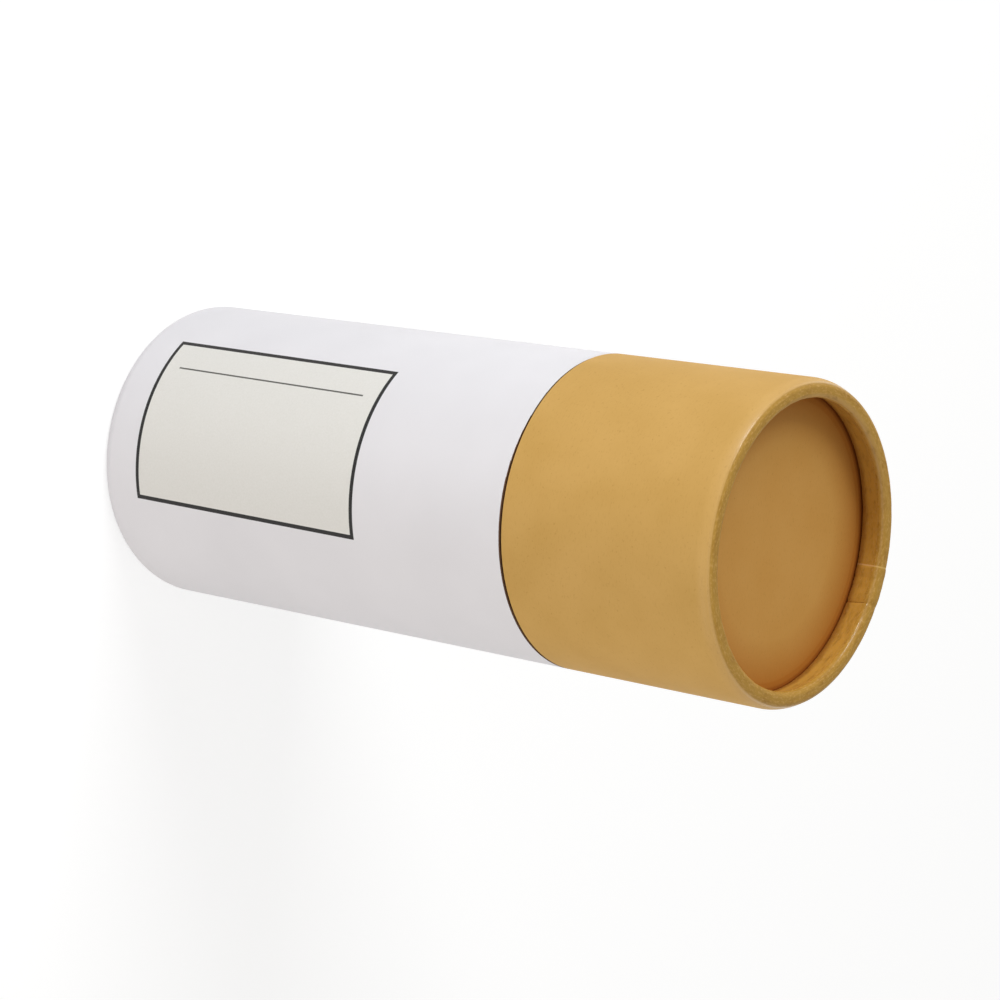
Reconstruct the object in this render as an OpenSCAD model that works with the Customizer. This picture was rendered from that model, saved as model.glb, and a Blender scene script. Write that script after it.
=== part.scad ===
// Round paperboard tube box, standing on its base with the lid on.
// The base and the lid are wound tubes of one diameter. Each has its closed end rolled inwards over a
// recessed disc. An inner tube lines the base and stands out of it as the neck that the lid slides on.

/* [Box] */
// Outside diameter of the base and the lid
box_d = 80; // [60:1:120]
// Height of the closed box
box_h = 200; // [150:1:320]
// Height of the lid, from its open edge to the top of its rolled rim
lid_h = 61; // [45:1:90]
// Wall of the wound tubes that the base and the lid are made from
wall = 1.5; // [1.2:0.1:1.8]

/* [Rolled rims] */
// Radius inside the gentle bend at the end of the wall
shoulder_bend = 4; // [3:0.1:6]
// Height of that bend inside, up to the fold that starts the rim's flat
shoulder_rise = 2.4; // [1:0.1:2.8]
// Width of the flat between that fold and the one at the rim's inner lip
rim_flat = 1; // [0.5:0.1:2]
// Depth from the rim's top to the disc that it holds
recess = 8; // [7:0.5:14]
// Gap between the tip of the rolled-in edge and the wall
roll_gap = 0.2; // [0.1:0.05:0.4]
// Gap between the tip of the rolled-in edge and the disc, which shows as a dark line
tip_gap = 0.5; // [0.1:0.1:0.8]

/* [End discs] */
// Thickness of a disc
disc_t = 2; // [1:0.1:3]
// Gap between a disc and the wall around it
disc_clearance = 0.2; // [0.1:0.05:0.4]

/* [Neck and seat] */
// Wall of the inner tube
neck_wall = 1.2; // [0.8:0.1:2]
// Gap between the inner tube and the tubes around it
neck_clearance = 0.25; // [0.15:0.05:0.5]
// Clear height between the neck's edge and the lid's disc
neck_headroom = 9; // [3:1:20]
// Gap between the open edges of the lid and the base, which shows as a dark line
seat_gap = 0.4; // [0.2:0.1:1]
// Bevel on the outer corner of every cut edge
edge_bevel = 0.25; // [0.1:0.05:0.5]

/* [Hidden] */
$fa = 3;
$fs = 0.2;

white_paper = "#E6E3E6";
kraft_paper = "#C79B56";
kraft_board = "#AE8550";

tube_r = box_d / 2;
bore_r = tube_r - wall;
disc_r = bore_r - disc_clearance;
neck_r = bore_r - neck_clearance;

lid_z = box_h - lid_h;
base_h = lid_z - seat_gap;
lid_disc_z = box_h - recess - disc_t;
neck_z = recess + disc_t;
neck_top = lid_disc_z - neck_headroom;

// Centre of the gentle bend, its depth below the rim's top, and the inner corners of the two folds
shoulder_r = shoulder_bend + wall;
shoulder_x = tube_r - shoulder_r;
shoulder_depth = wall + shoulder_rise;
shoulder_run = sqrt(shoulder_bend * shoulder_bend - shoulder_rise * shoulder_rise);
fold_x = shoulder_x + shoulder_run;
lip_x = fold_x - rim_flat;

// Depth of the rolled-in edge, and its lean, which brings its tip to within roll_gap of the wall
edge_depth = recess - tip_gap;
edge_lean = atan2(bore_r - roll_gap - lip_x, edge_depth - wall);

// Straight wall, from its bevelled open edge up to the shoulder
module wall_section(h) {
    polygon([
        [bore_r, 0],
        [tube_r - edge_bevel, 0],
        [tube_r, edge_bevel],
        [tube_r, h - shoulder_depth],
        [bore_r, h - shoulder_depth]
    ]);
}

// Gentle bend from the wall to the first fold
module shoulder_section() {
    reach = 2 * shoulder_r;
    intersection() {
        difference() {
            circle(shoulder_r);
            circle(shoulder_bend);
        }
        polygon([[0, 0], [reach, 0], [reach, reach * shoulder_rise / shoulder_run]]);
    }
}

// Wall bent round the inner corner of a sharp fold
module fold_section() {
    intersection() {
        circle(wall);
        translate([-wall, 0])
            square([2 * wall, wall]);
    }
}

// Straight stretch of the wall that ends in a fold
module folded_section(run) {
    square([run, wall]);
    fold_section();
}

// Rolled rim: gentle shoulder, fold, narrow flat, tight lip, and the edge that leans back to the wall
module rim_section(h) {
    translate([shoulder_x, h - shoulder_depth])
        shoulder_section();
    translate([fold_x, h - wall])
        fold_section();
    translate([lip_x, h - wall])
        folded_section(rim_flat);
    intersection() {
        translate([lip_x, h - wall])
            rotate(edge_lean - 90)
                mirror([0, 1])
                    folded_section(edge_depth);
        translate([0, h - edge_depth])
            square([tube_r, edge_depth]);
    }
}

// Tube of the given height with its open edge at z = 0 and its rolled rim at the top
module rolled_tube(h) {
    rotate_extrude() {
        wall_section(h);
        rim_section(h);
    }
}

module end_disc() {
    cylinder(r = disc_r, h = disc_t);
}

module base_tube() {
    color(white_paper)
        translate([0, 0, base_h])
            mirror([0, 0, 1])
                rolled_tube(base_h);
}

module base_disc() {
    color(white_paper)
        translate([0, 0, recess])
            end_disc();
}

module neck_tube() {
    color(kraft_board)
        rotate_extrude()
            polygon([
                [neck_r - neck_wall, neck_z],
                [neck_r, neck_z],
                [neck_r, neck_top - edge_bevel],
                [neck_r - edge_bevel, neck_top],
                [neck_r - neck_wall, neck_top]
            ]);
}

module lid_tube() {
    color(kraft_paper)
        translate([0, 0, lid_z])
            rolled_tube(lid_h);
}

module lid_disc() {
    color(kraft_paper)
        translate([0, 0, lid_disc_z])
            end_disc();
}

base_tube();
base_disc();
neck_tube();
lid_tube();
lid_disc();
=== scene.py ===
"""Looks of a round cardboard tube box: a white base, a kraft lid and the neck inside them.

Every piece is turned about the tube's axis from the section of the part that it stands for. The turned
meshes carry what the paper shows: pleats in the rolled rims, the overlap where the wrapping ends, and a
printed panel on the base.
"""
import math

import bmesh
import bpy
import numpy as np
from mathutils import Matrix, Vector


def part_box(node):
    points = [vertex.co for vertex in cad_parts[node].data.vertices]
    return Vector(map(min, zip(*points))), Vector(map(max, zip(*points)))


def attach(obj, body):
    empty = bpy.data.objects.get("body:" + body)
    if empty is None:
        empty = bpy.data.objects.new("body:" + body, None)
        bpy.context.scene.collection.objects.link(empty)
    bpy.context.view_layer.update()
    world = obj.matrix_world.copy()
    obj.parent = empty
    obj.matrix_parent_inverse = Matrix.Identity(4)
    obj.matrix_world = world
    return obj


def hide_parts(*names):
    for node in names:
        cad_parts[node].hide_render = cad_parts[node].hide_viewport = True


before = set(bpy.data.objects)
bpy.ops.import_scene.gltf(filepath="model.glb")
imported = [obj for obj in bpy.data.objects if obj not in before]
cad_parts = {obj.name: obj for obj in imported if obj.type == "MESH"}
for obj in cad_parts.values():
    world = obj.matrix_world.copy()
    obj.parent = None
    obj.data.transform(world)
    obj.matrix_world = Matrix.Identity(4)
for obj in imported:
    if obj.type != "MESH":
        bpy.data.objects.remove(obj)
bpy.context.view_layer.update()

MM = 0.001
FULL_TURN = 2 * math.pi

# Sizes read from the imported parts
base_low, base_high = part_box("base_tube")
lid_low, lid_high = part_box("lid_tube")
neck_low, neck_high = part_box("neck_tube")
base_disc_low, base_disc_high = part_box("base_disc")
lid_disc_low, lid_disc_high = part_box("lid_disc")

TUBE_R = lid_high.x
NECK_R = neck_high.x
DISC_R = lid_disc_high.x
BOX_H = lid_high.z
RECESS = base_disc_low.z - base_low.z

# Sizes of the section that the boxes of the parts don't give
WALL = 1.5 * MM
NECK_WALL = 1.2 * MM
SHOULDER_BEND = 4.0 * MM
SHOULDER_RISE = 2.4 * MM
RIM_FLAT = 1.0 * MM
ROLL_GAP = 0.2 * MM
TIP_GAP = 0.5 * MM
EDGE_BEVEL = 0.25 * MM

BORE_R = TUBE_R - WALL
SHOULDER_R = SHOULDER_BEND + WALL
SHOULDER_X = TUBE_R - SHOULDER_R
SHOULDER_DEPTH = WALL + SHOULDER_RISE
SHOULDER_TURN = math.asin(SHOULDER_RISE / SHOULDER_BEND)
FOLD_X = SHOULDER_X + SHOULDER_BEND * math.cos(SHOULDER_TURN)
LIP_X = FOLD_X - RIM_FLAT
EDGE_DEPTH = RECESS - TIP_GAP
ROLLED_TIP_R = BORE_R - ROLL_GAP
EDGE_LEAN = math.atan2(ROLLED_TIP_R - LIP_X, EDGE_DEPTH - WALL)
TIP_INNER_R = ROLLED_TIP_R - WALL / math.cos(EDGE_LEAN)

# Directions in a section, and the places on the rim's bends where the paper's gloss changes
RIGHT, UP, LEFT, DOWN = 0.0, math.pi / 2, math.pi, -math.pi / 2
SOFT_END = 0.8 * SHOULDER_TURN
FOLD_END = SHOULDER_TURN + 0.3 * (UP - SHOULDER_TURN)
LIP_MIDDLE = math.radians(140)
LIP_GLOSS = math.radians(153)

# Pressed edge of the discs, and their rings from the axis outwards: distance from the edge, how far the
# ring is darkened with painted shade towards the foot of the recess' wall, and steps to the next ring
DISC_EDGE = 0.35 * MM
DISC_RINGS = [
    (DISC_R, 0, 16),
    (15 * MM, 0, 4),
    (4 * MM, 0.35, 6),
    (1.6 * MM, 1, 2),
    (DISC_EDGE, 1, 0),
]

# Printed panel on the base: heights, and angles round the axis, where -90 degrees faces the camera
PANEL_LOW, PANEL_HIGH = 12.95 * MM, 90.85 * MM
PANEL_FROM, PANEL_TO = math.radians(-132.56), math.radians(-65.64)
BORDER_W = 1.15 * MM
BORDER_TURN = BORDER_W / TUBE_R
RULE_LOW, RULE_HIGH = 18.7 * MM, 84.9 * MM
RULE_ANGLE = math.radians(-119.5)
RULE_W = 0.47 * MM
RULE_HALF_TURN = RULE_W / TUBE_R / 2
# The wrapping went on slightly askew: turn of the print per metre of height, about the panel's middle
WRAP_SKEW = 0.241
WRAP_MIDDLE = (PANEL_LOW + PANEL_HIGH) / 2

# Overlap of the wrapping paper: a cut edge, and a strip beside it where the paper lies double
PAPER_T = 0.1 * MM
CUT_EDGE_W = 0.42 * MM
CUT_EDGE_TURN = CUT_EDGE_W / TUBE_R
CREASE_W = 0.3 * MM
STRIP_FADE = 0.25
LID_SEAM = math.radians(86.1)
LID_STRIP = math.radians(15.1)
BASE_SEAM = math.radians(112)
BASE_STRIP = math.radians(14)
NECK_SEAM = math.radians(60)
NECK_STRIP = math.radians(10)
# Stretch of the base's open edge where its bevel is painted dark brown: painted shade of the gap under the
# lid's edge
GAP_SHADE_FROM, GAP_SHADE_TO = math.radians(-125), math.radians(60)
GAP_SHADE_TAPER = math.radians(30)

# Gathered paper of the rolled rims: creases at random places, and one at the end of the double strip
PLEAT_COUNT = 150
PLEAT_DEPTH = 0.05 * MM
PLEAT_WIDTHS = (0.4, 1.1)
PLEAT_DEPTHS = (0.2, 1.0)
STRIP_PLEAT_WIDTH = 0.5
STRIP_PLEAT_DEPTH = 3
BASE_PLEATS = 11
LID_PLEATS = 7
# Fine ridge that the rolling leaves along the rim's outer fold
RIDGE_H = 0.05 * MM
RIDGE_W = 0.3 * MM
# Uneven cut of the lid's rolled-in edge: how far it hangs down at most, and where it hangs least
TIP_SAG = 0.44 * MM
TIP_SAG_LEAST = math.radians(140)
# Side of the lid's rim where the inner lip takes a painted sheen: a paler tone standing in for a glancing
# reflection
LIP_SHEEN_SIDE = math.radians(175)

# Fineness of the turned meshes
RIM_STEPS = 720
NECK_STEPS = 360
DISC_STEPS = 256
SHARP_FROM = math.radians(35)
WELD_REACH = 1e-7
# Even angles nearer to a wanted one than this share of half a step are left out
STOP_CLEARANCE = 0.6
# Turn behind a seam that still counts as the seam itself
SEAM_SLACK = 1e-6


def srgb(red, green, blue):
    """Colour for a shader from 8-bit screen values."""
    def linear(value):
        share = value / 255
        return share / 12.92 if share <= 0.04045 else ((share + 0.055) / 1.055) ** 2.4
    return (linear(red), linear(green), linear(blue), 1.0)


# Sections

class Section:
    """Outline of a turned piece in the plane of radius and height, built stretch by stretch.

    A stretch has a zone, which picks its material. Gather and shade, from 0 to 1, says how far its paper is
    drawn into pleats and turned to darker browns, and near 1 how much painted shade of a crevice it takes;
    on a disc it says only how far a ring takes painted shade. Polish says how far the rolling has rubbed it
    smooth, and wrapped whether paper covers it.
    """

    def __init__(self, closed=True):
        self.closed = closed
        self.points = []
        self.zones = []
        self.gather = []
        self.polish = []
        self.wrapped = []

    def add(self, point, zone, share=0, gather=(0, 0), polish=(0, 0), wrapped=False):
        self.points.append(point)
        self.zones.append(zone)
        self.gather.append(gather[0] + (gather[1] - gather[0]) * share)
        self.polish.append(polish[0] + (polish[1] - polish[0]) * share)
        self.wrapped.append(float(wrapped))

    def line(self, start, end, steps, zone, **paper):
        for share in np.arange(steps) / steps:
            point = (start[0] + (end[0] - start[0]) * share, start[1] + (end[1] - start[1]) * share)
            self.add(point, zone, share, **paper)

    def arc(self, centre, radius, turn_from, turn_to, steps, zone, ridge_at=None, **paper):
        for share in np.arange(steps) / steps:
            turned = turn_from + (turn_to - turn_from) * share
            reach = radius
            if ridge_at is not None:
                reach += RIDGE_H * math.exp(-((turned - ridge_at) * radius / RIDGE_W) ** 2)
            point = (centre[0] + reach * math.cos(turned), centre[1] + reach * math.sin(turned))
            self.add(point, zone, share, **paper)

    def stretches(self):
        """Number of steps along the outline, with the one that closes it."""
        return len(self.points) if self.closed else len(self.points) - 1

    def mirrored(self, height):
        """The same outline upside down, with its open edge at the given height."""
        other = Section(self.closed)
        other.points = [(r, height - z) for r, z in reversed(self.points)]
        other.zones = self.zones[-2::-1] + self.zones[-1:]
        other.gather = self.gather[::-1]
        other.polish = self.polish[::-1]
        other.wrapped = self.wrapped[::-1]
        return other

    def raised(self, height):
        self.points = [(r, z + height) for r, z in self.points]
        return self

    def normals(self):
        """Outward direction at each point, halfway between its two stretches."""
        points = np.array(self.points)
        ahead = np.roll(points, -1, axis=0) - points
        if not self.closed:
            ahead[-1] = ahead[-2]
        ahead /= np.linalg.norm(ahead, axis=1)[:, None]
        behind = np.roll(ahead, 1, axis=0)
        if not self.closed:
            behind[0] = ahead[0]
        along = ahead + behind
        along /= np.linalg.norm(along, axis=1)[:, None]
        return np.stack([along[:, 1], -along[:, 0]], axis=1)


def rim_centres(height):
    """Centres of the shoulder, the fold and the lip of a rim whose top is at the given height."""
    shoulder = (SHOULDER_X, height - SHOULDER_DEPTH)
    fold = (FOLD_X, height - WALL)
    lip = (LIP_X, height - WALL)
    return shoulder, fold, lip


def add_wall(section, height, wall_heights):
    """Bevelled open edge, and the straight wall with points at the given heights."""
    section.line((TUBE_R - EDGE_BEVEL, 0), (TUBE_R, EDGE_BEVEL), 5, "edge")
    stops = [EDGE_BEVEL, *wall_heights, height - SHOULDER_DEPTH]
    for low, high in zip(stops, stops[1:]):
        section.line((TUBE_R, low), (TUBE_R, high), 2, "wall", wrapped=True)


def add_rim(section, height):
    """Papered face of the rim: shoulder, fold, flat and lip."""
    shoulder, fold, lip = rim_centres(height)
    section.arc(shoulder, SHOULDER_R, RIGHT, SOFT_END, 16, "rim", polish=(0, 0.45), wrapped=True)
    section.arc(shoulder, SHOULDER_R, SOFT_END, SHOULDER_TURN, 10, "rim", ridge_at=SHOULDER_TURN,
                gather=(0, 0.1), polish=(0.45, 1), wrapped=True)
    section.arc(fold, WALL, SHOULDER_TURN, FOLD_END, 6, "rim", ridge_at=SHOULDER_TURN,
                gather=(0.1, 0.6), polish=(1, 0.3), wrapped=True)
    section.arc(fold, WALL, FOLD_END, UP, 8, "rim",
                gather=(0.6, 0.6), polish=(0.3, 0.1), wrapped=True)
    section.line((FOLD_X, height), (LIP_X, height), 3, "rim",
                 gather=(0.6, 0.6), polish=(0.1, 0.1), wrapped=True)
    section.arc(lip, WALL, UP, LIP_MIDDLE, 12, "rim",
                gather=(0.6, 0.7), polish=(0.1, 0.2), wrapped=True)
    section.arc(lip, WALL, LIP_MIDDLE, LIP_GLOSS, 4, "rim",
                gather=(0.7, 0.72), polish=(0.2, 1), wrapped=True)
    section.arc(lip, WALL, LIP_GLOSS, LEFT + EDGE_LEAN, 12, "rim",
                gather=(0.72, 0.8), polish=(1, 0.8), wrapped=True)


def add_rolled_edge(section, height):
    """Rolled-in edge from the lip down to its tip, and the board behind it up to the shoulder."""
    shoulder, fold, lip = rim_centres(height)
    lip_foot = (LIP_X - WALL * math.cos(EDGE_LEAN), lip[1] - WALL * math.sin(EDGE_LEAN))
    tip_z = height - EDGE_DEPTH
    section.line(lip_foot, (TIP_INNER_R, tip_z), 12, "tail",
                 gather=(0.8, 1), polish=(0.8, 0), wrapped=True)
    section.line((TIP_INNER_R, tip_z), (ROLLED_TIP_R, tip_z), 1, "tip", gather=(1, 1))
    section.line((ROLLED_TIP_R, tip_z), lip, 3, "board")
    section.line(lip, fold, 1, "board")
    section.arc(shoulder, SHOULDER_BEND, SHOULDER_TURN, RIGHT, 6, "board")


def rolled_section(height, wall_heights=()):
    """Section of a tube with its open edge at 0 and its rolled rim at the top."""
    section = Section()
    add_wall(section, height, wall_heights)
    add_rim(section, height)
    add_rolled_edge(section, height)
    section.line((BORE_R, height - SHOULDER_DEPTH), (BORE_R, 0), 6, "bore")
    section.line((BORE_R, 0), (TUBE_R - EDGE_BEVEL, 0), 1, "cut")
    return section


def add_disc_face(section, z, zone, outwards):
    """Flat face of a disc, from its axis to its pressed edge or back."""
    spans = list(zip(DISC_RINGS, DISC_RINGS[1:]))
    if not outwards:
        spans.reverse()
    for inner, outer in spans:
        steps = inner[2]
        start, end = (inner, outer) if outwards else (outer, inner)
        section.line((DISC_R - start[0], z), (DISC_R - end[0], z), steps, zone, gather=(start[1], end[1]))


def disc_section(low, high):
    """Section of an end disc, from its axis below to its axis above, with a pressed edge."""
    section = Section(closed=False)
    flat_r = DISC_R - DISC_EDGE
    add_disc_face(section, low, "face_low", outwards=True)
    section.arc((flat_r, low + DISC_EDGE), DISC_EDGE, DOWN, RIGHT, 4, "face_low", gather=(1, 1))
    section.line((DISC_R, low + DISC_EDGE), (DISC_R, high - DISC_EDGE), 2, "cut")
    section.arc((flat_r, high - DISC_EDGE), DISC_EDGE, RIGHT, UP, 4, "face_high", gather=(1, 1))
    add_disc_face(section, high, "face_high", outwards=False)
    section.add((0, high), "face_high")
    return section


def neck_section():
    """Section of the inner tube, with its bevelled edge at the top."""
    low, high = neck_low.z, neck_high.z
    inner_r = NECK_R - NECK_WALL
    section = Section()
    section.line((NECK_R, low), (NECK_R, high - EDGE_BEVEL), 24, "outside", wrapped=True)
    section.line((NECK_R, high - EDGE_BEVEL), (NECK_R - EDGE_BEVEL, high), 1, "cut")
    section.line((NECK_R - EDGE_BEVEL, high), (inner_r, high), 2, "cut")
    section.line((inner_r, high), (inner_r, low), 24, "inside")
    section.line((inner_r, low), (NECK_R, low), 1, "cut")
    return section


# Turned meshes

def ring_angles(start, steps, *stops):
    """Angles for one turn from the start, evenly spaced, with the stops added."""
    even = start + np.arange(steps) * (FULL_TURN / steps)
    wanted = [start + (stop - start) % FULL_TURN for stop in stops]
    gap = math.pi / steps * STOP_CLEARANCE
    kept = [angle for angle in even if all(abs(angle - stop) > gap for stop in wanted) or angle == start]
    return np.array(sorted(set(kept + wanted)))


def pleat_relief(angles, seed, mark):
    """Depth of the creases round a rolled rim at each angle, from about -1 to 0, deeper at the mark."""
    random = np.random.default_rng(seed)
    places = random.uniform(0, FULL_TURN, PLEAT_COUNT)
    widths = random.uniform(*PLEAT_WIDTHS, PLEAT_COUNT) * MM / LIP_X
    depths = random.uniform(*PLEAT_DEPTHS, PLEAT_COUNT)
    places[0] = mark
    widths[0] = STRIP_PLEAT_WIDTH * MM / LIP_X
    depths[0] = STRIP_PLEAT_DEPTH
    apart = (angles[:, None] - places[None, :] + math.pi) % FULL_TURN - math.pi
    return -(depths * np.exp(-((apart / widths) ** 2))).sum(axis=1)


def strip_relief(section, angles, seam, strip):
    """Rise of the paper where it lies double, from its cut edge at the seam back to the strip's soft end."""
    behind = (seam - angles) % FULL_TURN
    double = np.clip((strip - behind) / (STRIP_FADE * strip), 0, 1) * (behind > SEAM_SLACK)
    return PAPER_T * double[:, None] * np.array(section.wrapped)


def rim_relief(section, angles, seed, seam, strip):
    """Rise of a tube's paper by angle and point of the section: its pleats and its double strip."""
    pleats = PLEAT_DEPTH * pleat_relief(angles, seed, seam - strip)[:, None] * np.array(section.gather)
    return pleats + strip_relief(section, angles, seam, strip)


def tip_sag(section, angles):
    """Drop of the rolled-in edge's tip, by angle and point of the section."""
    at_tip = np.array([zone == "tip" for zone in section.zones])
    return TIP_SAG * (0.5 - 0.5 * np.cos(angles - TIP_SAG_LEAST))[:, None] * at_tip


def turned_points(section, angles, relief, sag, skew):
    """Points of a section turned about the axis, angle after angle."""
    points = np.array(section.points)
    normals = section.normals()
    radius = points[:, 0] + relief * normals[:, 0]
    height = points[:, 1] + relief * normals[:, 1] - sag
    turned = angles[:, None] + skew * (height - WRAP_MIDDLE)
    return np.stack([radius * np.cos(turned), radius * np.sin(turned), height], axis=2).reshape(-1, 3)


def ring_faces(section, turns):
    """Four-cornered faces between each angle and the next."""
    count = len(section.points)
    ring = np.arange(turns)[:, None]
    step = np.arange(section.stretches())[None, :]
    next_ring = (ring + 1) % turns
    next_step = (step + 1) % count
    corners = [ring * count + step, next_ring * count + step,
               next_ring * count + next_step, ring * count + next_step]
    return np.stack(corners, axis=2).reshape(-1, 4)


def unrolled_uv(section, angles):
    """Places of the faces' corners on the paper laid flat: round the tube, and along the section."""
    points = np.array(section.points)
    lengths = np.linalg.norm(np.roll(points, -1, axis=0) - points, axis=1)
    along = np.concatenate([[0], np.cumsum(lengths)])
    unrolled = np.append(angles, angles[0] + FULL_TURN) * TUBE_R
    ring = np.arange(len(angles))[:, None]
    step = np.arange(section.stretches())[None, :]
    u_low, u_high = unrolled[ring] + 0 * step, unrolled[ring + 1] + 0 * step
    v_low, v_high = along[step] + 0 * ring, along[step + 1] + 0 * ring
    return np.stack([u_low, v_low, u_high, v_low, u_high, v_high, u_low, v_high], axis=2)


def turned_mesh(name, section, angles, relief=None, sag=0.0, lip_sheen=0.0, skew=0.0, flat_uv=False):
    """Mesh of a section turned about the axis.

    Relief gives each point's outward shift, and sag how far it drops, by angle and point. Lip sheen, by
    angle, says how far the paper of a rolled lip is paled by a painted sheen that stands in for a
    reflection.
    """
    turns, count = len(angles), len(section.points)
    if relief is None:
        relief = np.zeros((turns, count))
    vertices = turned_points(section, angles, relief, sag, skew)
    faces = ring_faces(section, turns)
    mesh = bpy.data.meshes.new(name)
    mesh.from_pydata(vertices.tolist(), [], faces.tolist())

    uv = vertices[faces.reshape(-1)][:, :2] if flat_uv else unrolled_uv(section, angles)
    layer = mesh.uv_layers.new(name="paper")
    layer.data.foreach_set("uv", uv.reshape(-1).astype(np.float32))

    paper = {
        "gather": np.tile(section.gather, turns),
        "polish": np.tile(section.polish, turns),
        "lip_sheen": np.repeat(lip_sheen + 0 * angles, count),
    }
    for key, values in paper.items():
        attribute = mesh.attributes.new(key, "FLOAT", "POINT")
        attribute.data.foreach_set("value", values.astype(np.float32))
    return mesh


def weld(mesh):
    """Joins the points that fall together on the axis."""
    work = bmesh.new()
    work.from_mesh(mesh)
    bmesh.ops.remove_doubles(work, verts=work.verts, dist=WELD_REACH)
    work.to_mesh(mesh)
    work.free()


def face_materials(section, angles, names, pick):
    """Place in the list of names of the material that pick gives each face, angle after angle."""
    heights = np.array(section.points)[:, 1]
    middles = (heights + np.roll(heights, -1)) / 2
    spans = np.append(angles, angles[0] + FULL_TURN)
    indices = []
    for turn in range(len(angles)):
        angle = (spans[turn] + spans[turn + 1]) / 2
        for step in range(section.stretches()):
            indices.append(names.index(pick(section.zones[step], angle, middles[step])))
    return indices


def finished_piece(name, mesh, section, angles, materials, pick):
    """Object of a turned mesh, with the material that pick names for each face's zone, angle and height."""
    for material in materials.values():
        mesh.materials.append(material)
    mesh.polygons.foreach_set("material_index", face_materials(section, angles, list(materials), pick))
    mesh.polygons.foreach_set("use_smooth", [True] * len(mesh.polygons))
    weld(mesh)
    mesh.set_sharp_from_angle(angle=SHARP_FROM)
    mesh.validate()
    mesh.update()
    piece = bpy.data.objects.new(name, mesh)
    bpy.context.scene.collection.objects.link(piece)
    return piece


# Materials

MIX_FACTOR, MIX_A, MIX_B, MIX_RESULT = 0, 6, 7, 2


class Shader:
    """Node tree of one material, with short calls for the nodes that the papers share."""

    def __init__(self, name):
        self.material = bpy.data.materials.new(name)
        self.material.use_nodes = True
        self.tree = self.material.node_tree
        self.surface = self.tree.nodes["Principled BSDF"]
        self.place = self.add("ShaderNodeTexCoord")

    def add(self, kind, inputs=None, **settings):
        node = self.tree.nodes.new(kind)
        for key, value in settings.items():
            setattr(node, key, value)
        for key, value in (inputs or {}).items():
            self.feed(node.inputs[key], value)
        return node

    def feed(self, socket, value):
        if isinstance(value, bpy.types.NodeSocket):
            self.tree.links.new(value, socket)
        else:
            socket.default_value = value

    def noise(self, size, detail=2, roughness=0.5, stretch=None):
        """Noise with features of about the given size in metres, drawn out along the paper by stretch."""
        vector = self.place.outputs["Object"]
        if stretch:
            scale = self.add("ShaderNodeMapping", {"Vector": self.place.outputs["UV"], "Scale": stretch})
            vector = scale.outputs["Vector"]
        node = self.add("ShaderNodeTexNoise", {
            "Vector": vector, "Scale": 1 / size, "Detail": detail, "Roughness": roughness})
        return node.outputs["Fac"]

    def spread(self, value, low, high, to_low=0.0, to_high=1.0):
        node = self.add("ShaderNodeMapRange", {
            "Value": value, "From Min": low, "From Max": high, "To Min": to_low, "To Max": to_high})
        return node.outputs["Result"]

    def mix(self, factor, first, second):
        node = self.add("ShaderNodeMix", {MIX_FACTOR: factor, MIX_A: first, MIX_B: second}, data_type="RGBA")
        return node.outputs[MIX_RESULT]

    def sum(self, first, second):
        return self.add("ShaderNodeMath", {0: first, 1: second}, operation="ADD").outputs["Value"]

    def product(self, first, second):
        return self.add("ShaderNodeMath", {0: first, 1: second}, operation="MULTIPLY").outputs["Value"]

    def attribute(self, name):
        return self.add("ShaderNodeAttribute", attribute_name=name).outputs["Fac"]

    def bump(self, height, distance, strength=1.0, under=None):
        inputs = {"Height": height, "Distance": distance, "Strength": strength}
        if under:
            inputs["Normal"] = under
        return self.add("ShaderNodeBump", inputs).outputs["Normal"]

    def finish(self, **sockets):
        for name, value in sockets.items():
            self.feed(self.surface.inputs[name.replace("_", " ")], value)
        return self.material


# Brown of the kraft paper's fibres and smudges, and the painted shade of its crevices and of the disc's edge
KRAFT_DEEP = srgb(150, 106, 38)
KRAFT_SHADE = srgb(128, 60, 12)


def kraft_tone(paper, gather, dark, light, rolled, inner, lip):
    """Colour of kraft paper before its fibres: clouded, and in other browns where it is rolled. On the disc
    these browns are painted shade towards its edge, and the lip tone is a painted sheen.
    """
    clouds = paper.noise(14 * MM, detail=3)
    tone = paper.mix(paper.spread(clouds, 0.3, 0.7), dark, light)
    tone = paper.mix(paper.spread(gather, 0.02, 0.45), tone, rolled)
    if lip:
        # Painted sheen: the lip paper pales by angle, standing in for a glancing reflection
        pale_share = paper.product(paper.spread(gather, 0.6, 0.68), paper.attribute("lip_sheen"))
        tone = paper.mix(pale_share, tone, lip)
    return paper.mix(paper.spread(gather, 0.7, 0.85), tone, inner)


def kraft_streaks(paper, gather, fibre, tone, light, deep):
    """The colour with the dark smudges and pale fibres of paper that has been rolled."""
    smudge = paper.noise(1.8 * MM, detail=4, roughness=0.65, stretch=(0.35, 1.0, 1.0))
    rolled_share = paper.spread(gather, 0.1, 0.6)
    dark_share = paper.product(paper.spread(smudge, 0.48, 0.72, 0, 0.65), rolled_share)
    pale_share = paper.product(paper.spread(fibre, 0.5, 0.7, 0, 0.8), rolled_share)
    tone = paper.mix(dark_share, tone, deep)
    return paper.mix(pale_share, tone, light)


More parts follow.
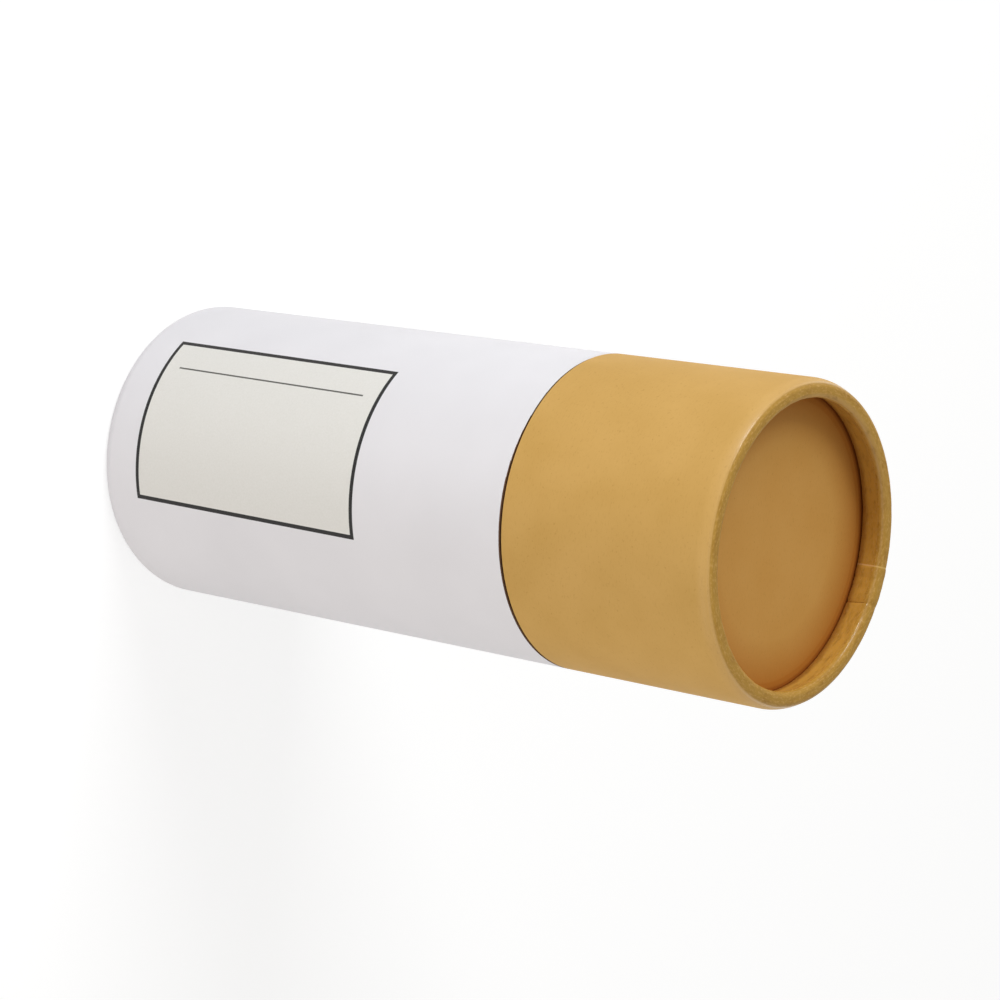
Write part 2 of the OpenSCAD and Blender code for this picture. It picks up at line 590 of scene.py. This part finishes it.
def kraft_paper(name, dark, light, rolled, inner, lip=None, deep=KRAFT_DEEP, streaks=True):
    """Brown wrapping paper: clouded pulp and fine fibres, darker and rubbed smooth where it is rolled, with
    painted shade where gather nears 1.
    """
    paper = Shader(name)
    gather = paper.attribute("gather")
    polish = paper.attribute("polish")
    tone = kraft_tone(paper, gather, dark, light, rolled, inner, lip)
    fibre = paper.noise(0.5 * MM, detail=3, roughness=0.65, stretch=(0.4, 1.0, 1.0))
    tone = paper.mix(paper.spread(fibre, 0.55, 0.8, 0, 0.2), tone, light)
    tone = paper.mix(paper.spread(fibre, 0.45, 0.2, 0, 0.25), tone, deep)
    fleck = paper.noise(0.8 * MM, detail=1)
    tone = paper.mix(paper.spread(fleck, 0.7, 0.76, 0, 0.2), tone, deep)
    if streaks:
        tone = kraft_streaks(paper, gather, fibre, tone, light, deep)
    # Painted shade: deep brown where gather nears 1, at the tip of the rolled-in edge and the disc's outer
    # ring, standing in for the crevice's shadow
    tone = paper.mix(paper.spread(gather, 0.93, 1.0, 0, 0.7), tone, KRAFT_SHADE)
    tooth = paper.noise(0.35 * MM, detail=2)
    rough = paper.sum(paper.spread(polish, 0, 1, 0.6, 0.18), paper.spread(fibre, 0.3, 0.7, -0.03, 0.03))
    gloss = paper.spread(polish, 0, 1, 0.08, 0.45)
    relief = paper.bump(fibre, 0.02 * MM, 0.4)
    relief = paper.bump(tooth, 0.01 * MM, 0.4, relief)
    return paper.finish(Base_Color=tone, Roughness=rough, Specular_IOR_Level=gloss, Normal=relief)


def white_paper(name, dark, light):
    """White wrapping paper: nearly even, with a fine tooth."""
    paper = Shader(name)
    clouds = paper.noise(30 * MM, detail=2)
    tone = paper.mix(paper.spread(clouds, 0.3, 0.7), dark, light)
    fibre = paper.noise(0.6 * MM, detail=3, roughness=0.6, stretch=(0.5, 1.0, 1.0))
    tone = paper.mix(paper.spread(fibre, 0.5, 0.25, 0, 0.25), tone, dark)
    rough = paper.spread(fibre, 0.3, 0.7, 0.52, 0.6)
    relief = paper.bump(fibre, 0.015 * MM, 0.5)
    return paper.finish(Base_Color=tone, Roughness=rough, Specular_IOR_Level=0.3, Normal=relief)


def ink(name, dark, light, roughness):
    """Print on the white paper, with the paper's tooth showing in it."""
    print_layer = Shader(name)
    speckle = print_layer.noise(0.5 * MM, detail=3, roughness=0.6)
    tone = print_layer.mix(print_layer.spread(speckle, 0.3, 0.7), dark, light)
    relief = print_layer.bump(speckle, 0.012 * MM, 0.5)
    rough = print_layer.spread(speckle, 0.3, 0.7, roughness - 0.03, roughness + 0.03)
    return print_layer.finish(Base_Color=tone, Roughness=rough, Specular_IOR_Level=0.3, Normal=relief)


def board(name, dark, light):
    """Grey-brown board inside the tubes."""
    sheet = Shader(name)
    pulp = sheet.noise(1.5 * MM, detail=4, roughness=0.7)
    tone = sheet.mix(sheet.spread(pulp, 0.3, 0.7), dark, light)
    relief = sheet.bump(pulp, 0.05 * MM, 0.6)
    rough = sheet.spread(pulp, 0.3, 0.7, 0.68, 0.8)
    return sheet.finish(Base_Color=tone, Roughness=rough, Normal=relief)


# The lip tone is a painted sheen: paler paper standing in for a glancing reflection on one side of the inner
# lip
KRAFT = kraft_paper(
    "kraft_wrap", dark=srgb(200, 158, 88), light=srgb(206, 164, 95),
    rolled=srgb(180, 138, 60), inner=srgb(208, 161, 70), lip=srgb(218, 176, 104))
KRAFT_EDGE = kraft_paper(
    "kraft_cut_edge", dark=srgb(222, 182, 122), light=srgb(232, 196, 140),
    rolled=srgb(206, 168, 92), inner=srgb(230, 188, 122), deep=srgb(200, 156, 92), streaks=False)
# Painted shade: darker paper along the crease in the rolled-in edge, standing in for the shadow in the
# crease
KRAFT_CREASE_SHADE = kraft_paper(
    "kraft_crease_shade", dark=srgb(150, 106, 40), light=srgb(160, 114, 46),
    rolled=srgb(160, 114, 46), inner=srgb(166, 120, 48), deep=KRAFT_SHADE)
# Disc paper: its rolled and inner browns are painted shade, darker and redder rings towards the disc's edge
# at the foot of the lid's wall
KRAFT_DISC = kraft_paper(
    "kraft_disc", dark=srgb(203, 150, 76), light=srgb(207, 155, 82),
    rolled=srgb(181, 118, 48), inner=srgb(163, 97, 36), streaks=False)
WHITE = white_paper("white_wrap", dark=srgb(226, 224, 228), light=srgb(231, 229, 233))
WHITE_EDGE = white_paper("white_cut_edge", dark=srgb(196, 192, 192), light=srgb(208, 204, 204))
CREAM_INK = ink("cream_ink", dark=srgb(223, 221, 216), light=srgb(228, 226, 222), roughness=0.55)
BLACK_INK = ink("black_ink", dark=srgb(24, 22, 22), light=srgb(34, 32, 31), roughness=0.5)
GREY_INK = ink("grey_ink", dark=srgb(84, 83, 79), light=srgb(98, 97, 92), roughness=0.5)
BOARD = board("grey_board", dark=srgb(150, 116, 72), light=srgb(178, 142, 94))
# Painted shade: dark brown for the base's cut top and bevel, standing in for the shadow in the gap under the
# lid
GAP_SHADE_EDGE = board("gap_shade_edge", dark=srgb(70, 42, 20), light=srgb(92, 58, 30))
NECK_BOARD = board("neck_board", dark=srgb(168, 128, 76), light=srgb(188, 148, 94))


# Pieces

def panel_ink(seen, z):
    """Ink at an angle and height on the base's wall: the panel's border, rule or ground, or none."""
    if not (PANEL_LOW < z < PANEL_HIGH and PANEL_FROM < seen < PANEL_TO):
        return None
    inside_z = PANEL_LOW + BORDER_W < z < PANEL_HIGH - BORDER_W
    if not inside_z or not PANEL_FROM + BORDER_TURN < seen < PANEL_TO - BORDER_TURN:
        return "black"
    if abs(seen - RULE_ANGLE) < RULE_HALF_TURN and RULE_LOW < z < RULE_HIGH:
        return "grey"
    return "cream"


def base_shell():
    """White tube with its rolled end at the bottom, and the printed panel on its wall."""
    height = base_high.z
    borders = [PANEL_LOW, PANEL_LOW + BORDER_W, RULE_LOW, RULE_HIGH, PANEL_HIGH - BORDER_W, PANEL_HIGH]
    section = rolled_section(height, sorted(height - z for z in borders)).mirrored(height)
    angles = ring_angles(
        BASE_SEAM, RIM_STEPS, BASE_SEAM + CUT_EDGE_TURN,
        PANEL_FROM, PANEL_FROM + BORDER_TURN, PANEL_TO - BORDER_TURN, PANEL_TO,
        RULE_ANGLE - RULE_HALF_TURN, RULE_ANGLE + RULE_HALF_TURN)
    relief = rim_relief(section, angles, BASE_PLEATS, BASE_SEAM, BASE_STRIP)

    def pick(zone, angle, z):
        seen = (angle + math.pi) % FULL_TURN - math.pi
        gap_shade_from = GAP_SHADE_FROM + GAP_SHADE_TAPER * (height - z) / EDGE_BEVEL
        # Painted shade of the gap under the lid: the cut top all round, and the bevel along one stretch
        if zone == "cut" or (zone == "edge" and gap_shade_from < seen < GAP_SHADE_TO):
            return "gap_shade_edge"
        if zone in ("bore", "board"):
            return "board"
        if 0 <= angle - BASE_SEAM <= CUT_EDGE_TURN:
            return "cut_edge"
        if zone == "wall":
            return panel_ink(seen, z) or "white"
        return "white"

    mesh = turned_mesh("base_shell", section, angles, relief, skew=WRAP_SKEW)
    materials = {"white": WHITE, "cut_edge": WHITE_EDGE, "cream": CREAM_INK, "black": BLACK_INK,
                 "grey": GREY_INK, "gap_shade_edge": GAP_SHADE_EDGE, "board": BOARD}
    return finished_piece("base_shell", mesh, section, angles, materials, pick)


def lid_shell():
    """Kraft tube with its rolled end at the top."""
    section = rolled_section(lid_high.z - lid_low.z).raised(lid_low.z)
    crease = LID_SEAM - LID_STRIP + FULL_TURN
    crease_half = CREASE_W / LIP_X / 2
    angles = ring_angles(LID_SEAM, RIM_STEPS, LID_SEAM + CUT_EDGE_TURN,
                         crease - crease_half, crease + crease_half)
    relief = rim_relief(section, angles, LID_PLEATS, LID_SEAM, LID_STRIP)
    # Painted sheen on the inner lip: strongest on one side, gone on the other half, standing in for a
    # glancing reflection
    lip_sheen = np.clip(np.cos(angles - LIP_SHEEN_SIDE), 0, 1) ** 2

    def pick(zone, angle, z):
        if zone in ("bore", "board", "cut"):
            return "board"
        if 0 <= angle - LID_SEAM <= CUT_EDGE_TURN:
            return "cut_edge"
        # Painted shade along the crease in the rolled-in edge
        if zone == "tail" and abs(angle - crease) < crease_half:
            return "crease"
        return "kraft"

    mesh = turned_mesh("lid_shell", section, angles, relief, tip_sag(section, angles), lip_sheen)
    materials = {"kraft": KRAFT, "cut_edge": KRAFT_EDGE, "crease": KRAFT_CREASE_SHADE, "board": BOARD}
    return finished_piece("lid_shell", mesh, section, angles, materials, pick)


def end_disc(name, low, high, outer, outer_zone):
    """Disc in a rolled end: paper on the outer face, board on the inner one."""
    section = disc_section(low, high)
    angles = ring_angles(0, DISC_STEPS)
    mesh = turned_mesh(name, section, angles, flat_uv=True)

    def pick(zone, angle, z):
        return "outer" if zone == outer_zone else "inner"

    return finished_piece(name, mesh, section, angles, {"outer": outer, "inner": NECK_BOARD}, pick)


def neck_liner():
    """Inner tube of plain board."""
    section = neck_section()
    angles = ring_angles(NECK_SEAM, NECK_STEPS, NECK_SEAM + CUT_EDGE_W / NECK_R)
    relief = strip_relief(section, angles, NECK_SEAM, NECK_STRIP)

    def pick(zone, angle, z):
        return "board" if zone == "cut" else "paper"

    mesh = turned_mesh("neck_liner", section, angles, relief)
    return finished_piece("neck_liner", mesh, section, angles, {"paper": NECK_BOARD, "board": BOARD}, pick)


def place(piece, body, node):
    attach(piece, body)
    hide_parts(node)


place(base_shell(), "base", "base_tube")
place(end_disc("base_end", base_disc_low.z, base_disc_high.z, WHITE, "face_low"),
      "base", "base_disc")
place(neck_liner(), "base", "neck_tube")
place(lid_shell(), "lid", "lid_tube")
place(end_disc("lid_end", lid_disc_low.z, lid_disc_high.z, KRAFT_DISC, "face_high"),
      "lid", "lid_disc")


# Camera: the photo's viewing angle, rolled so that the standing box lies across the image
CAMERA_TARGET = Vector((1.04, 0, 106.18)) * MM
CAMERA_DISTANCE = 752.06 * MM
CAMERA_AZIMUTH = math.radians(-0.1)
CAMERA_ELEVATION = math.radians(38.486)
CAMERA_ROLL = math.radians(99.334)
CAMERA_LENS = 105.16
CAMERA_REACH = 50
SENSOR = 36.0


def add_camera():
    level = math.cos(CAMERA_ELEVATION)
    back = Vector((math.sin(CAMERA_AZIMUTH) * level, -math.cos(CAMERA_AZIMUTH) * level,
                   math.sin(CAMERA_ELEVATION)))
    data = bpy.data.cameras.new("camera")
    data.lens = CAMERA_LENS
    data.sensor_width = SENSOR
    data.clip_end = CAMERA_REACH
    camera = bpy.data.objects.new("camera", data)
    facing = (-back).to_track_quat("-Z", "Y").to_matrix()
    turned = facing @ Matrix.Rotation(CAMERA_ROLL, 3, "Z")
    camera.matrix_world = Matrix.Translation(CAMERA_TARGET + back * CAMERA_DISTANCE) @ turned.to_4x4()
    bpy.context.scene.collection.objects.link(camera)
    bpy.context.scene.camera = camera


# Studio: a white floor and sky that look white to the camera, and three soft lamps
FLOOR_R = 1.1
FLOOR_CORNERS = 128
FLOOR_DROP = 0.2 * MM
FLOOR_GLOW = 0.7
FLOOR_SHOWN = (0.42, 0.42, 0.42, 1)
FLOOR_PLAIN = (0.68, 0.68, 0.68, 1)
SKY_AT_HORIZON = 0.62
SKY_OVERHEAD = 0.4
SKY_COLOUR = (1, 0.985, 0.965, 1)
SEEN_WHITE = (1, 1, 1, 1)
LAMP_DISTANCE = 1.2


def seen_directly(tree):
    """Factor that is 1 on camera, glossy and transmission rays."""
    path = tree.nodes.new("ShaderNodeLightPath")
    total = path.outputs["Is Camera Ray"]
    for other in ("Is Glossy Ray", "Is Transmission Ray"):
        either = tree.nodes.new("ShaderNodeMath")
        either.operation = "MAXIMUM"
        tree.links.new(total, either.inputs[0])
        tree.links.new(path.outputs[other], either.inputs[1])
        total = either.outputs["Value"]
    return total


def show_directly(tree, shown, otherwise, output_kind):
    """Ends a tree with one shader for what is seen directly and another for all other light."""
    choice = tree.nodes.new("ShaderNodeMixShader")
    output = tree.nodes.new(output_kind)
    tree.links.new(seen_directly(tree), choice.inputs[0])
    tree.links.new(otherwise.outputs[0], choice.inputs[1])
    tree.links.new(shown.outputs[0], choice.inputs[2])
    tree.links.new(choice.outputs[0], output.inputs["Surface"])


def add_world():
    """Sky that looks white, and that lights the box a little more from the horizon than from above."""
    world = bpy.data.worlds.new("studio")
    world.use_nodes = True
    bpy.context.scene.world = world
    tree = world.node_tree
    tree.nodes.clear()
    direction = tree.nodes.new("ShaderNodeTexCoord")
    split = tree.nodes.new("ShaderNodeSeparateXYZ")
    fade = tree.nodes.new("ShaderNodeMapRange")
    fade.inputs["To Min"].default_value = SKY_AT_HORIZON
    fade.inputs["To Max"].default_value = SKY_OVERHEAD
    lit = tree.nodes.new("ShaderNodeBackground")
    lit.inputs["Color"].default_value = SKY_COLOUR
    tree.links.new(direction.outputs["Generated"], split.inputs["Vector"])
    tree.links.new(split.outputs["Z"], fade.inputs["Value"])
    tree.links.new(fade.outputs["Result"], lit.inputs["Strength"])
    white = tree.nodes.new("ShaderNodeBackground")
    white.inputs["Color"].default_value = SEEN_WHITE
    show_directly(tree, white, lit, "ShaderNodeOutputWorld")


def floor_material():
    """White sweep: its own light for what is seen directly, and a plain pale surface for the shadow."""
    material = bpy.data.materials.new("floor")
    material.use_nodes = True
    tree = material.node_tree
    tree.nodes.clear()
    glow = tree.nodes.new("ShaderNodeEmission")
    glow.inputs["Strength"].default_value = FLOOR_GLOW
    shade = tree.nodes.new("ShaderNodeBsdfDiffuse")
    shade.inputs["Color"].default_value = FLOOR_SHOWN
    shown = tree.nodes.new("ShaderNodeAddShader")
    tree.links.new(glow.outputs[0], shown.inputs[0])
    tree.links.new(shade.outputs[0], shown.inputs[1])
    plain = tree.nodes.new("ShaderNodeBsdfDiffuse")
    plain.inputs["Color"].default_value = FLOOR_PLAIN
    show_directly(tree, shown, plain, "ShaderNodeOutputMaterial")
    return material


def add_floor():
    mesh = bpy.data.meshes.new("floor")
    turns = [FULL_TURN * corner / FLOOR_CORNERS for corner in range(FLOOR_CORNERS)]
    corners = [(FLOOR_R * math.cos(turn), FLOOR_R * math.sin(turn), -FLOOR_DROP) for turn in turns]
    mesh.from_pydata(corners, [], [list(range(FLOOR_CORNERS))])
    mesh.materials.append(floor_material())
    floor = bpy.data.objects.new("floor", mesh)
    bpy.context.scene.collection.objects.link(floor)


def add_softbox(name, direction, width, height, watts, colour):
    """Area lamp that faces the middle of the box from the given direction."""
    data = bpy.data.lights.new(name, "AREA")
    data.shape = "RECTANGLE"
    data.size = width
    data.size_y = height
    data.energy = watts
    data.color = colour
    lamp = bpy.data.objects.new(name, data)
    away = Vector(direction).normalized()
    lamp.location = Vector((0, 0, BOX_H / 2)) + away * LAMP_DISTANCE
    lamp.rotation_euler = away.to_track_quat("Z", "Y").to_euler()
    bpy.context.scene.collection.objects.link(lamp)


add_camera()
add_world()
add_floor()
add_softbox("key", direction=(-0.8, -0.28, 0.54), width=0.5, height=0.8, watts=7.9,
            colour=(0.95, 0.975, 0.98))
add_softbox("glint", direction=(-0.8, -0.58, 0.17), width=0.14, height=0.12, watts=1.1,
            colour=(0.98, 0.99, 1.0))
add_softbox("fill", direction=(0.67, -0.74, 0), width=1.0, height=0.16, watts=4.7,
            colour=(1.0, 0.95, 0.88))

bpy.context.scene.view_settings.view_transform = "Standard"
